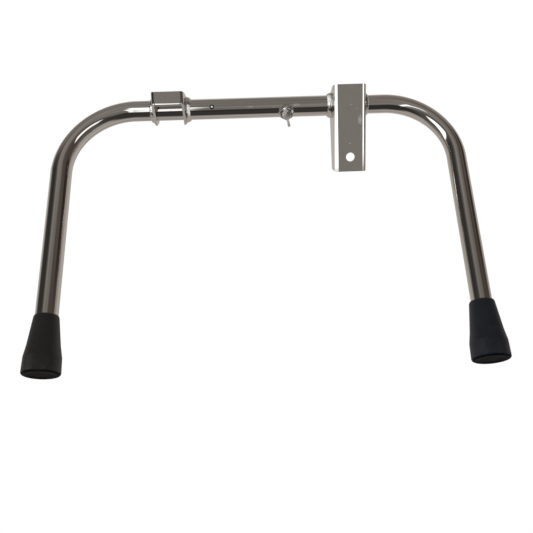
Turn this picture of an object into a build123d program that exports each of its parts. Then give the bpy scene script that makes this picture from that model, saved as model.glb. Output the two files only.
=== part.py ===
from build123d import *
import math
import os

# Front leg frame of a toilet safety frame: two bent legs whose cross bars telescope,
# two pressed channel brackets welded on the bar, a clamp screw and two rubber ferrules.
# Millimetres, +Z up. X runs along the bar, -Y is the side that the brackets face.
# The origin is on the floor, midway between the two legs.

# ---- frame ----
leg_spacing = 487.0          # centre to centre of the legs
bar_height = 340.0           # floor to the axis of the bar
left_bend_radius = 87.0      # centreline radius of the outer tube's bend
right_bend_radius = 82.0     # centreline radius of the inner tube's bend
left_bend_press = 2.2        # how far bending flattens the outside of the outer tube
right_bend_press = 1.1
bend_press_share = ((0, 0.0), (20, 0.6), (45, 1.0), (70, 0.6), (90, 0.0))  # degrees round the bend, share

# ---- tubes ----
outer_tube_diameter = 25.4
outer_tube_wall = 1.0
inner_tube_wall = 1.2
slide_clearance = 0.1        # radial, inner tube in outer tube
bar_end_past_socket = 6.5    # how far the outer tube passes the socket's outboard flange

# ---- channel brackets ----
plate_thickness = 3.0
bracket_width = 40.0
bracket_bend_radius = 5.0    # outside radius between web and flange
bracket_corner_radius = 2.5
bracket_tilt = 36.0          # degrees that the channels lean to the bar's front
slot_depth = 19.3            # clear depth between web and tube
flange_land = 4.0            # plate left round the tube hole
tube_hole_clearance = 0.1    # radial
socket_x = 114.0             # bracket centres along the bar
saddle_x = -111.0
socket_top = 24.5            # above the bar's axis, along the channel
socket_bottom = 82.0         # below the bar's axis, along the channel
socket_foot_depth = 28.2    # flange depth at the bottom end
flange_top_depth = 17.0      # flange depth at the top end
saddle_top = 22.0
saddle_top_depth = 9.0       # ear depth at the top end
saddle_web_height = 15.5
saddle_ear_depth = 25.0      # depth of the ear's front corner, under the bar
saddle_bottom = 18.8         # below the bar's axis, along the channel
bolt_hole_diameter = 11.0
bolt_hole_from_end = 18.0

# ---- welds ----
weld_leg_on_tube = 6.0
weld_leg_on_plate = 3.5
weld_crown = 0.7

# ---- clamp ----
clamp_x = 36.0
clamp_angle = 65.0           # degrees below horizontal, towards the front
nut_across_flats = 16.0
nut_height = 6.5
screw_diameter = 8.0
thread_clearance = 0.1
tip_clearance = 0.3          # screw tip to inner tube
nut_weld_width = 1.6
hub_standoff = 1.0           # nut face to the hub of the screw
hub_height = 6.0
hub_base_diameter = 12.0
hub_top_diameter = 9.0
wing_span = 27.0
wing_rise = 10.5             # hub base to the top of the wings
wing_thickness = 3.0
wing_corner_radius = 1.5
wing_turn = 104.0            # degrees from the bar's direction

# ---- stop rivet ----
rivet_x = -58.0
rivet_angle = 25.0
rivet_head_diameter = 6.0
rivet_head_height = 1.1
rivet_shank_diameter = 3.2
rivet_reach = 2.5            # shank length inside the outer tube
rivet_clearance = 0.05

# ---- telescoping ----
slide_in = 18.0
inner_stop_gap = 0.5

# ---- rubber ferrules ----
ferrule_height = 67.0
ferrule_rim_wall = 1.4       # rubber at the mouth, round the larger tube
ferrule_rim_chamfer = 1.6    # height of the slope at the mouth
ferrule_rim_slope = 0.9      # how far in it goes, less than the rubber there
ferrule_flare_height = 33.0  # where the cone starts to flare faster
ferrule_flare_diameter = 36.4
ferrule_band_height = 19.5   # top of the band round the foot
ferrule_band_diameter = 41.4
ferrule_base_diameter = 42.6
ferrule_flare_radius = 20.0
ferrule_edge_radius = 3.0
ferrule_floor = 9.0          # rubber under the washer
ferrule_clearance = 0.05
tread_dish_diameter = 32.0   # shallow dish in the tread
tread_dish_depth = 0.8
tread_dish_slope = 4.0
washer_thickness = 1.6
washer_clearance = 0.25
washer_hole_diameter = 8.0

# ---- derived ----
outer_radius = outer_tube_diameter / 2
outer_bore_radius = outer_radius - outer_tube_wall
inner_radius = outer_bore_radius - slide_clearance
inner_bore_radius = inner_radius - inner_tube_wall
left_x = -leg_spacing / 2
right_x = leg_spacing / 2
tube_foot = ferrule_floor + washer_thickness
outer_bar_end = socket_x + bracket_width / 2 + bar_end_past_socket
inner_bar_end = rivet_x + rivet_shank_diameter / 2 + inner_stop_gap + slide_in
web_to_axis = plate_thickness + slot_depth + outer_radius
flange_round = outer_radius + tube_hole_clearance + flange_land


def pressed_section(plane, radius, press):
    """Round section whose half toward the plane's x is flattened by press."""
    free_half = CenterArc((0, 0), radius, 90, 180)
    flat_half = EllipticalCenterArc((0, 0), radius - press, radius, start_angle=-90, arc_size=180)
    return plane * make_face([free_half, flat_half])


def bent_bar(radius, bar_end, leg_x, bend_radius, press):
    """Solid bar along the frame's top that turns down into a leg; its bend is flattened outside."""
    side = math.copysign(1, leg_x)
    corner = Vector(leg_x - side * bend_radius, 0, bar_height - bend_radius)
    sections, middles = [], []
    for degrees, share in bend_press_share:
        a = math.radians(degrees)
        outward = Vector(side * math.sin(a), 0, math.cos(a))
        onward = Vector(side * math.cos(a), 0, -math.sin(a))
        plane = Plane(origin=corner + outward * bend_radius, x_dir=outward, z_dir=onward)
        sections.append(pressed_section(plane, radius, press * share))
        middles.append(plane.origin)
    path = ThreePointArc(middles[0], middles[len(middles) // 2], middles[-1])
    bend = sweep(sections, path=path, multisection=True)
    bar = extrude(Plane(origin=(bar_end, 0, bar_height), z_dir=(side, 0, 0)) * Circle(radius), abs(corner.X - bar_end))
    leg = extrude(Plane(origin=(leg_x, 0, tube_foot)) * Circle(radius), corner.Z - tube_foot)
    return bar + bend + leg


def bent_tube(radius, bore_radius, bar_end, leg_x, bend_radius, press):
    """Round tube that runs along the bar, turns down and ends in the ferrule."""
    wall = bent_bar(radius, bar_end, leg_x, bend_radius, press)
    return wall - bent_bar(bore_radius, bar_end, leg_x, bend_radius, press)


def radial_plane(x, angle, turn=0.0):
    """Plane on the bar's axis whose z points outward, down and to the front."""
    a = math.radians(angle)
    t = math.radians(turn)
    outward = Vector(0, -math.cos(a), -math.sin(a))
    along_bar = Vector(1, 0, 0)
    turned = along_bar * math.cos(t) + outward.cross(along_bar) * math.sin(t)
    return Plane(origin=(x, 0, bar_height), x_dir=turned, z_dir=outward)


def bar_cylinder(radius, x_from, x_to):
    """Solid round bar on the bar's axis."""
    start = Plane(origin=(x_from, 0, bar_height), z_dir=(1, 0, 0))
    return extrude(start * Circle(radius), x_to - x_from)


def bracket_plane(x):
    """Side plane of a bracket: x runs back from the bar's axis, y up the channel."""
    t = math.radians(bracket_tilt)
    return Plane(origin=(x, 0, bar_height), x_dir=(0, math.cos(t), math.sin(t)), z_dir=(1, 0, 0))


def channel_bracket(x, outline, top, height):
    """Pressed channel: a side outline, a bent section and a rounded front meet."""
    side = bracket_plane(x)
    front = -web_to_axis
    depth = web_to_axis + flange_round
    block = extrude(side * outline, bracket_width / 2, both=True)

    section_plane = Plane(origin=side.from_local_coords((0, top, 0)), x_dir=(1, 0, 0), z_dir=side.y_dir)
    back = depth + flange_round
    outer = Pos(0, front + back / 2) * Rectangle(bracket_width, back)
    outer = fillet(outer.vertices().group_by(Axis.Y)[0], bracket_bend_radius)
    inner_width = bracket_width - 2 * plate_thickness
    inner_depth = back - plate_thickness
    inner = Pos(0, front + plate_thickness + inner_depth / 2) * Rectangle(inner_width, inner_depth)
    inner = fillet(inner.vertices().group_by(Axis.Y)[0], bracket_bend_radius - plate_thickness)
    bent = extrude(section_plane * (outer - inner), back * 3, both=True)

    face_plane = Plane(origin=side.from_local_coords((0, top - height / 2, 0)), x_dir=(1, 0, 0), z_dir=side.x_dir)
    face = extrude(face_plane * RectangleRounded(bracket_width, height, bracket_corner_radius), back * 2, both=True)
    hole_radius = outer_radius + tube_hole_clearance
    return (block & bent & face) - bar_cylinder(hole_radius, x - bracket_width, x + bracket_width)


def socket_outline():
    """Long flange: a round land about the tube and a taper to the lower end."""
    front = -web_to_axis
    top_back = front + flange_top_depth
    foot_back = front + socket_foot_depth
    body = Polygon(
        (front, socket_top),
        (top_back, socket_top),
        (0, flange_round),
        (flange_round, 0),
        (foot_back, -socket_bottom),
        (front, -socket_bottom),
        align=None,
    )
    return body + Circle(flange_round)


def saddle_outline():
    """Short web with ears that reach down and back under the tube."""
    front = -web_to_axis
    web_bottom = saddle_top - saddle_web_height
    ear_back = front + saddle_ear_depth
    body = Polygon(
        (front, saddle_top),
        (front + saddle_top_depth, saddle_top),
        (0, flange_round),
        (0, -flange_round),
        (ear_back, -saddle_bottom),
        (front + plate_thickness, web_bottom),
        (front, web_bottom),
        align=None,
    )
    return body + Circle(flange_round)


def weld_bead(x, direction):
    """Crowned fillet weld round the tube, against a flange whose outside is at x."""
    toe = x + direction * weld_leg_on_tube
    top = outer_radius + weld_leg_on_plate
    middle = (x + direction * (weld_leg_on_tube / 2 + weld_crown), outer_radius + weld_leg_on_plate / 2 + weld_crown)
    edges = [
        Line((x, outer_radius), (toe, outer_radius)),
        ThreePointArc((toe, outer_radius), middle, (x, top)),
        Line((x, top), (x, outer_radius)),
    ]
    profile = make_face(edges)
    upright = Plane(origin=(0, 0, bar_height), x_dir=(1, 0, 0), z_dir=(0, -1, 0))
    return revolve(upright * profile, Axis((0, 0, bar_height), (1, 0, 0)))


def clamp_nut(plane):
    """Plain hexagon nut that stands on the tube."""
    blank = RegularPolygon(nut_across_flats / 2, 6, major_radius=False)
    bore = Circle(screw_diameter / 2 + thread_clearance)
    body = extrude(plane.offset(outer_radius) * (blank - bore), nut_height)
    return chamfer(body.edges().filter_by(GeomType.CIRCLE), 0.6)


def clamp_nut_weld(plane, nut_space):
    """Collar of weld that fills the gap between the flat nut and the round tube."""
    low = outer_radius * 0.7
    collar_height = outer_radius + nut_weld_width - low
    wide = nut_across_flats / 2 + 2 * nut_weld_width
    slim = nut_across_flats / 2 + nut_weld_width
    collar = loft([plane.offset(low) * Circle(wide), plane.offset(low + collar_height) * Circle(slim)])
    collar -= bar_cylinder(outer_radius, clamp_x - wide * 2, clamp_x + wide * 2)
    return collar - nut_space


def wing_screw(plane):
    """Screw with a tapered hub and two ears that flare out and up."""
    tip = inner_radius + tip_clearance
    hub_base = outer_radius + nut_height + hub_standoff
    shank = extrude(plane.offset(tip) * Circle(screw_diameter / 2), hub_base - tip)
    shank = chamfer(shank.faces().sort_by(Axis(plane.origin, plane.z_dir))[0].edges(), 1.2)
    base = plane.offset(hub_base)
    hub = loft([base * Circle(hub_base_diameter / 2), base.offset(hub_height) * Circle(hub_top_diameter / 2)])
    half_span = wing_span / 2
    ear = Polygon(
        (0, 1.0),
        (hub_base_diameter / 2 - 0.5, 0.8),
        (half_span - 1.0, wing_rise * 0.45),
        (half_span, wing_rise * 0.8),
        (half_span - 2.5, wing_rise),
        (half_span - 6.0, wing_rise * 0.92),
        (hub_top_diameter / 2 - 1.0, hub_height - 0.5),
        (0, hub_height - 0.5),
        align=None,
    )
    ear = fillet(ear.vertices().sort_by(Axis.X)[-4:], wing_corner_radius)
    wing_plane = Plane(origin=base.origin, x_dir=plane.x_dir, z_dir=plane.x_dir.cross(plane.z_dir))
    ear_solid = extrude(wing_plane * ear, wing_thickness / 2, both=True)
    other = mirror(ear_solid, Plane(origin=base.origin, z_dir=plane.x_dir))
    return shank + hub + ear_solid + other


def stop_rivet(plane):
    """Domed rivet whose shank shows inside the outer tube and stops the inner one."""
    dome = rivet_head_diameter / 2
    sphere_radius = (dome ** 2 + rivet_head_height ** 2) / (2 * rivet_head_height)
    low = outer_radius - 0.6
    skirt = extrude(plane.offset(low) * Circle(dome), outer_radius + rivet_head_height - low)
    ball = plane.offset(outer_radius + rivet_head_height - sphere_radius) * Sphere(sphere_radius)
    head = (skirt & ball) - bar_cylinder(outer_radius, rivet_x - dome * 2, rivet_x + dome * 2)
    shank_end = outer_bore_radius - rivet_reach
    shank = extrude(plane.offset(shank_end) * Circle(rivet_shank_diameter / 2), outer_radius + 0.3 - shank_end)
    return head + shank


def ferrule(x, tube_radius):
    """Flared rubber tip, bored for the tube, with a shallow dish in its tread."""
    rim = outer_radius + ferrule_rim_wall
    flare = (ferrule_flare_diameter / 2, ferrule_flare_height)
    band = (ferrule_band_diameter / 2, ferrule_band_height)
    base = (ferrule_base_diameter / 2, 0)
    bore = tube_radius + ferrule_clearance
    dish = tread_dish_diameter / 2
    profile = Polygon(
        (bore, ferrule_height),
        (rim - ferrule_rim_slope, ferrule_height),
        (rim, ferrule_height - ferrule_rim_chamfer),
        flare,
        band,
        base,
        (dish, 0),
        (dish - tread_dish_slope, tread_dish_depth),
        (0, tread_dish_depth),
        (0, ferrule_floor),
        (bore, ferrule_floor),
        align=None,
    )
    for corner, radius in ((flare, ferrule_flare_radius), (band, ferrule_edge_radius), (base, ferrule_edge_radius)):
        profile = fillet(profile.vertices().sort_by_distance(corner)[0], radius)
    upright = Plane(origin=(x, 0, 0), x_dir=(1, 0, 0), z_dir=(0, -1, 0))
    return revolve(upright * profile, Axis((x, 0, 0), (0, 0, 1)))


def washer(x, tube_radius):
    """Steel washer between the tube's end and the rubber."""
    disc = Circle(tube_radius + ferrule_clearance - washer_clearance) - Circle(washer_hole_diameter / 2)
    return extrude(Plane(origin=(x, 0, ferrule_floor)) * disc, washer_thickness)


clamp_plane = radial_plane(clamp_x, clamp_angle)
screw_plane = radial_plane(clamp_x, clamp_angle, wing_turn)
rivet_plane = radial_plane(rivet_x, rivet_angle)

nut = clamp_nut(clamp_plane)
nut_space = extrude(
    clamp_plane.offset(outer_radius) * RegularPolygon(nut_across_flats / 2, 6, major_radius=False),
    nut_height,
)
screw_hole = extrude(clamp_plane * Circle(screw_diameter / 2 + thread_clearance), outer_radius + nut_height)
rivet_hole = extrude(rivet_plane * Circle(rivet_shank_diameter / 2 + rivet_clearance), outer_radius * 2)

outer_tube = bent_tube(outer_radius, outer_bore_radius, outer_bar_end, left_x, left_bend_radius, left_bend_press)
outer_tube = outer_tube - screw_hole - rivet_hole
inner_tube = bent_tube(inner_radius, inner_bore_radius, inner_bar_end, right_x, right_bend_radius, right_bend_press)

socket = channel_bracket(socket_x, socket_outline(), socket_top, socket_top + socket_bottom)
socket_side = bracket_plane(socket_x)
hole_centre = socket_side.from_local_coords((-web_to_axis, bolt_hole_from_end - socket_bottom, 0))
hole_plane = Plane(origin=hole_centre, x_dir=(1, 0, 0), z_dir=socket_side.x_dir)
socket = socket - extrude(hole_plane * Circle(bolt_hole_diameter / 2), plate_thickness)
saddle = channel_bracket(saddle_x, saddle_outline(), saddle_top, saddle_top + saddle_bottom)

half_bracket = bracket_width / 2
parts = {
    "outer_leg_tube": outer_tube,
    "inner_leg_tube": inner_tube,
    "socket_channel": socket,
    "saddle_bracket": saddle,
    "socket_weld_inboard": weld_bead(socket_x - half_bracket, -1),
    "socket_weld_outboard": weld_bead(socket_x + half_bracket, 1),
    "saddle_weld_inboard": weld_bead(saddle_x + half_bracket, 1),
    "saddle_weld_outboard": weld_bead(saddle_x - half_bracket, -1),
    "clamp_nut": nut,
    "clamp_nut_weld": clamp_nut_weld(clamp_plane, nut_space) - screw_hole,
    "wing_screw": wing_screw(screw_plane),
    "stop_rivet": stop_rivet(rivet_plane),
    "left_ferrule": ferrule(left_x, outer_radius),
    "right_ferrule": ferrule(right_x, inner_radius),
    "left_washer": washer(left_x, outer_radius),
    "right_washer": washer(right_x, inner_radius),
}

os.makedirs("parts", exist_ok=True)
for name, shape in parts.items():
    export_step(shape, f"parts/{name}.step")
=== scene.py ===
# %% [markdown]
# # Front leg frame of a toilet safety frame
# Two chromed tubes are bent to an upside-down U. Their cross bars slide one in the other, so the
# frame can be set to the width of a toilet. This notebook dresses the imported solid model: each
# solid becomes a finished piece with a material of its own, and nothing changes its size.

# %% Load the solid model
import bpy
import bmesh
import math
from mathutils import Matrix, Vector


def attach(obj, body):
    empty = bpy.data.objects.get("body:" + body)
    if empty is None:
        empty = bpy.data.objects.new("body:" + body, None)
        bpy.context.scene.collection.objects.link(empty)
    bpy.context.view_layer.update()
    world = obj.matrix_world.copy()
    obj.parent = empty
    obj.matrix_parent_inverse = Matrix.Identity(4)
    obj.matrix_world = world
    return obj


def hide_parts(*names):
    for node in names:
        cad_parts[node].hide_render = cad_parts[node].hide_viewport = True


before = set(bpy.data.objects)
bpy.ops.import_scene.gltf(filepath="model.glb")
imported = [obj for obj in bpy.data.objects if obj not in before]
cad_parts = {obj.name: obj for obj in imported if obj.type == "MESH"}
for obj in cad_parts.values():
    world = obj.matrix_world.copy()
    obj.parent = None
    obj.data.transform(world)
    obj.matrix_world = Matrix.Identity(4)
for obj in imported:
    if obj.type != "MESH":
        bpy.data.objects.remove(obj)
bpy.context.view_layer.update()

# %% [markdown]
# ## Sizes
# The frame's own sizes come first, in metres, in the same frame as the solids: X along the bar,
# minus Y to the side that the brackets face, Z up from the floor. Every piece below is worked
# out from these, so a leg and its material always agree on where the bend is.

# %% Sizes of the real thing
MM = 0.001
BAR_HEIGHT = 340 * MM
LEFT_LEG, RIGHT_LEG = -243.5 * MM, 243.5 * MM
LEFT_BEND, RIGHT_BEND = 87 * MM, 82 * MM
OUTER_RADIUS, INNER_RADIUS = 12.7 * MM, 11.6 * MM
OUTER_WALL, INNER_WALL = 1.0 * MM, 1.2 * MM
BRACKET_TILT = math.radians(36)
LEFT_PRESS, RIGHT_PRESS = 2.2 * MM, 1.1 * MM
FOOT_HEIGHT = 10.6 * MM
OUTER_BAR_END, INNER_BAR_END = 140.5 * MM, -37.9 * MM
SADDLE_X, SOCKET_X, HALF_BRACKET, WEB_DEPTH = -111 * MM, 114 * MM, 20 * MM, 35 * MM
CLAMP_X, CLAMP_ANGLE = 36 * MM, math.radians(65)
RIVET_X, RIVET_ANGLE = -58 * MM, math.radians(25)
print("bar height", BAR_HEIGHT, "leg spacing", RIGHT_LEG - LEFT_LEG)

# %% [markdown]
# ## Camera
# The picture is taken from low down in front, looking up at the underside of the bar. A tilted
# camera is easiest to get right as three plain turns: aim along the compass, raise, then roll.

# %% Camera
CAMERA_PLACE = Vector((-0.00466, -0.68829, -0.17292))
CAMERA_HEADING, CAMERA_RISE, CAMERA_ROLL = (math.radians(a) for a in (0.682, 22.941, -2.166))
camera_data = bpy.data.cameras.new("studio_camera")
camera_data.sensor_width = 36
camera_data.lens = 43.9
camera_data.clip_start, camera_data.clip_end = 0.01, 50
camera = bpy.data.objects.new("studio_camera", camera_data)
bpy.context.scene.collection.objects.link(camera)
camera.matrix_world = (
    Matrix.Translation(CAMERA_PLACE)
    @ Matrix.Rotation(-CAMERA_HEADING, 4, "Z")
    @ Matrix.Rotation(math.pi / 2 + CAMERA_RISE, 4, "X")
    @ Matrix.Rotation(CAMERA_ROLL, 4, "Z")
)
bpy.context.scene.camera = camera
bpy.context.scene.view_settings.view_transform = "Standard"
print("camera at", [round(v, 3) for v in camera.matrix_world.translation])

# %% [markdown]
# ## A short way to write nodes
# A material is a small network of nodes. `put` adds one node, sets its options by name, and
# fills its inputs: a number or colour is set on the socket, and another node's output is wired.

# %% Node helpers
def put(tree, kind, inputs=(), **options):
    """Adds a node; inputs is {socket name or number: value or output}."""
    made = tree.nodes.new(kind)
    for name, value in options.items():
        setattr(made, name, value)
    for key, value in dict(inputs).items():
        if isinstance(value, bpy.types.NodeSocket):
            tree.links.new(value, made.inputs[key])
        else:
            made.inputs[key].default_value = value
    return made


def math_node(tree, operation, *values):
    """One sum on numbers, as an output socket."""
    return put(tree, "ShaderNodeMath", dict(enumerate(values)), operation=operation).outputs[0]


def times(tree, first, second):
    return math_node(tree, "MULTIPLY", first, second)


def plus(tree, first, second):
    return math_node(tree, "ADD", first, second)


def minus(tree, first, second):
    return math_node(tree, "SUBTRACT", first, second)


def between(tree, value, low, high, to_low=0.0, to_high=1.0):
    """Maps a range of one number to another, softly at both ends."""
    made = put(
        tree, "ShaderNodeMapRange", {0: value, 1: low, 2: high, 3: to_low, 4: to_high},
        interpolation_type="SMOOTHSTEP"
    )
    return made.outputs[0]

# %% [markdown]
# ## Studio: background and lamps
# The backdrop is plain white for the camera and for everything that mirrors it. Light on dull
# surfaces comes from a dimmer sky and three broad lamps, at a level where a colour shows as it
# is written.

# %% World and lamps
SKY_LIGHT = 0.55
world = bpy.data.worlds.new("white_backdrop")
bpy.context.scene.world = world
world.use_nodes = True
sky = world.node_tree
sky.nodes.clear()
path = put(sky, "ShaderNodeLightPath")
seen = math_node(sky, "MAXIMUM", path.outputs["Is Camera Ray"], path.outputs["Is Glossy Ray"])
seen = math_node(sky, "MAXIMUM", seen, path.outputs["Is Transmission Ray"])
level = math_node(sky, "ADD", math_node(sky, "MULTIPLY", seen, 1.0 - SKY_LIGHT), SKY_LIGHT)
shade = put(sky, "ShaderNodeBackground", {"Color": (1, 1, 1, 1), "Strength": level})
put(sky, "ShaderNodeOutputWorld", {"Surface": shade.outputs[0]})


def lamp(name, place, aim, width, power):
    """Square soft box that lights dull surfaces; chrome doesn't mirror it."""
    data = bpy.data.lights.new(name, "AREA")
    data.size, data.energy = width, power
    made = bpy.data.objects.new(name, data)
    bpy.context.scene.collection.objects.link(made)
    made.location = place
    made.rotation_euler = (Vector(aim) - Vector(place)).to_track_quat("-Z", "Y").to_euler()
    made.visible_glossy = False
    return made


MIDDLE = (0, 0, 0.18)
lamp("soft_box_left", (-1.5, -1.3, 1.5), MIDDLE, 1.2, 22)
lamp("soft_box_right", (1.6, -1.0, 1.1), MIDDLE, 1.2, 12)
lamp("soft_box_back", (0.3, 1.8, 1.6), MIDDLE, 1.4, 14)

# %% [markdown]
# ## Studio: what the chrome mirrors
# Chrome has almost no colour of its own; its picture is the room. A shell stands round the stage
# that only mirror rays see. It is set up like a product studio: a pale wall behind, a dim one in
# front, a dark floor, a few plain cards and four windows. A card is a soft-edged patch given by
# the angles that it spans. Later cards lie over earlier ones. Tones are given as the chrome shows
# them on a screen, which is how an eye judges them. Two brown cards warm the light at the bends.

# %% Cards and windows
WALL_BEHIND = 0.60
# Each card: compass degrees from and to, degrees of height from and to, softness, tone.
CARDS = {
    "dim wall in front": (-100, 90, -110, 110, 10, 0.30),
    "low dark drape": (-85, 70, -110, -45, 10, 0.20),
    "pale door in the middle": (-25, 20, -45, 35, 5, 0.45),
    "dark curtain on the left": (-85, -40, 15, 35, 5, 0.20),
    "ceiling": (-75, 100, 40, 110, 5, 0.45),
    "dark flag on the right": (60, 90, 20, 45, 5, 0.20),
    "dark floor": (-220, 220, -110, -70, 10, 0.20),
}
# Each window: compass degrees from and to, degrees of height from and to, and how far each side leans.
WINDOWS = (
    (-80, -40, -25, 10, 0.65, -0.1),
    (-12, -8, -28, 3, 0.0, 0.0),
    (-6, -3, -45, -12, -0.2, -0.1),
    (34, 52, -34, 2, -0.2, -0.25),
)
# Brown cards: the same four angles.
BROWN_CARDS = ((10, 110, -5, 45), (-80, -25, 35, 55))
BROWN_EDGE = 5
WINDOW_TONE, WINDOW_EDGE = 1.1, 1.5
WARM, BROWN = (1.0, 0.935, 0.86, 1), (1.0, 0.82, 0.72, 1)
SCREEN_CURVE, CHROME_SHARE = 2.2, 0.6
SHELL_RADIUS = 20.0


def patch(tree, compass, rise, left, right, low, high, left_lean, right_lean, soft):
    """1 inside a card that spans these angles, 0 outside, soft at its edges."""
    from_left = plus(tree, compass, times(tree, rise, left_lean))
    from_right = plus(tree, compass, times(tree, rise, right_lean))
    past_left = between(tree, from_left, left - soft, left + soft)
    before_right = between(tree, from_right, right + soft, right - soft)
    inside = times(tree, past_left, before_right)
    inside = times(tree, inside, between(tree, rise, low - soft, low + soft))
    return times(tree, inside, between(tree, rise, high + soft, high - soft))


# %% [markdown]
# ## Painting the shell
# A card's place is a direction from the shell's middle. So the material turns its Object
# coordinates to a compass angle and a height, and lays the cards over each other. The shell is an
# object and not the world, so that it can be hidden from the camera and from dull surfaces.

# %% Mirror shell
def mirror_shell():
    """Ball of cards that only mirror rays see."""
    mesh = bpy.data.meshes.new("mirror_shell")
    ball = bmesh.new()
    bmesh.ops.create_uvsphere(ball, u_segments=64, v_segments=32, radius=SHELL_RADIUS)
    ball.to_mesh(mesh)
    ball.free()
    made = bpy.data.objects.new("mirror_shell", mesh)
    bpy.context.scene.collection.objects.link(made)
    made.location = MIDDLE
    for kind in ("camera", "diffuse", "transmission", "volume_scatter", "shadow"):
        setattr(made, "visible_" + kind, False)
    paint = bpy.data.materials.new("room_cards")
    paint.use_nodes = True
    tree = paint.node_tree
    tree.nodes.clear()
    place = put(tree, "ShaderNodeTexCoord").outputs["Object"]
    ray = put(tree, "ShaderNodeVectorMath", {0: place}, operation="NORMALIZE").outputs[0]
    axes = put(tree, "ShaderNodeSeparateXYZ", {0: ray}).outputs
    to_front = times(tree, axes[1], -1.0)
    compass = math_node(tree, "DEGREES", math_node(tree, "ARCTAN2", axes[0], to_front))
    rise = math_node(tree, "DEGREES", math_node(tree, "ARCSINE", axes[2]))
    tone = WALL_BEHIND
    for left, right, low, high, soft, card_tone in CARDS.values():
        card = patch(tree, compass, rise, left, right, low, high, 0.0, 0.0, soft)
        tone = put(tree, "ShaderNodeMix", {0: card, 2: tone, 3: card_tone}).outputs[0]
    windows = 0.0
    for window in WINDOWS:
        windows = math_node(tree, "MAXIMUM", windows, patch(tree, compass, rise, *window, WINDOW_EDGE))
    tone = put(tree, "ShaderNodeMix", {0: windows, 2: tone, 3: WINDOW_TONE}).outputs[0]
    level = math_node(tree, "DIVIDE", math_node(tree, "POWER", tone, SCREEN_CURVE), CHROME_SHARE)
    brown = 0.0
    for card in BROWN_CARDS:
        brown = math_node(tree, "MAXIMUM", brown, patch(tree, compass, rise, *card, 0.0, 0.0, BROWN_EDGE))
    tint = put(tree, "ShaderNodeMix", {0: brown, 6: WARM, 7: BROWN}, data_type="RGBA").outputs[2]
    tint = put(tree, "ShaderNodeMix", {0: windows, 6: tint, 7: (1, 1, 1, 1)}, data_type="RGBA").outputs[2]
    glow = put(tree, "ShaderNodeEmission", {"Color": tint, "Strength": level})
    put(tree, "ShaderNodeOutputMaterial", {"Surface": glow.outputs[0]})
    mesh.materials.append(paint)
    return made


mirror_shell()
print("cards:", len(CARDS), "windows:", len(WINDOWS))

# %% [markdown]
# ## Studio: floor
# A plain pale floor under the ferrules carries the frame's shadow and fades to the white of the
# backdrop further out. The camera stands lower than the floor, so the floor's underside lets
# the camera's rays through, as a glass stage does.

# %% Floor
FLOOR_TONE = (0.86, 0.86, 0.85)
FLOOR_REACH, FADE_FROM, FADE_TO = 8.0, 0.5, 1.6


def pale_floor():
    mesh = bpy.data.meshes.new("pale_floor")
    corners = [(x * FLOOR_REACH, y * FLOOR_REACH, 0) for x, y in ((-1, -1), (1, -1), (1, 1), (-1, 1))]
    mesh.from_pydata(corners, [], [(0, 1, 2, 3)])
    made = bpy.data.objects.new("pale_floor", mesh)
    bpy.context.scene.collection.objects.link(made)
    made.visible_glossy = False
    paint = bpy.data.materials.new("floor_paint")
    paint.use_nodes = True
    tree = paint.node_tree
    tree.nodes.clear()
    place = put(tree, "ShaderNodeTexCoord").outputs["Object"]
    distance = put(tree, "ShaderNodeVectorMath", {0: place}, operation="LENGTH").outputs["Value"]
    path = put(tree, "ShaderNodeLightPath")
    matt = put(tree, "ShaderNodeBsdfDiffuse", {"Color": (*FLOOR_TONE, 1)})
    white = put(tree, "ShaderNodeEmission", {"Color": (1, 1, 1, 1), "Strength": 1.0})
    far = times(tree, between(tree, distance, FADE_FROM, FADE_TO), path.outputs["Is Camera Ray"])
    fade = put(tree, "ShaderNodeMixShader", {0: far, 1: matt.outputs[0], 2: white.outputs[0]})
    underside = put(tree, "ShaderNodeNewGeometry").outputs["Backfacing"]
    under = times(tree, underside, path.outputs["Is Camera Ray"])
    clear = put(tree, "ShaderNodeBsdfTransparent")
    surface = put(tree, "ShaderNodeMixShader", {0: under, 1: fade.outputs[0], 2: clear.outputs[0]})
    put(tree, "ShaderNodeOutputMaterial", {"Surface": surface.outputs[0]})
    mesh.materials.append(paint)
    return made


pale_floor()
print("floor fades from", FADE_FROM, "to", FADE_TO)

# %% [markdown]
# ## Chrome on the tubes
# The tubes are drawn and polished along their length before they are plated, so the faint lines
# in the chrome follow the tube, round the bend too. The material works out two coordinates from
# the piece's own place: how far along the tube a point is, and how far round it. The same sum
# gives the tube its pressed bend, so it is written once.

# %% Where a point is on a bent tube
def corner_offsets(tree, place, leg_x, bend_radius, side, bar_height):
    """Distances past the middle of the bend, outward and up, and how far the two reach together."""
    axes = put(tree, "ShaderNodeSeparateXYZ", {0: place}).outputs
    bend_x = minus(tree, leg_x, times(tree, side, bend_radius))
    out = times(tree, minus(tree, axes[0], bend_x), side)
    up = minus(tree, axes[2], minus(tree, bar_height, bend_radius))
    past_out, past_up = math_node(tree, "MAXIMUM", out, 0.0), math_node(tree, "MAXIMUM", up, 0.0)
    both = put(tree, "ShaderNodeCombineXYZ", {0: past_out, 2: past_up}).outputs[0]
    reach = put(tree, "ShaderNodeVectorMath", {0: both}, operation="LENGTH").outputs["Value"]
    return axes, out, up, past_out, past_up, reach


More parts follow.
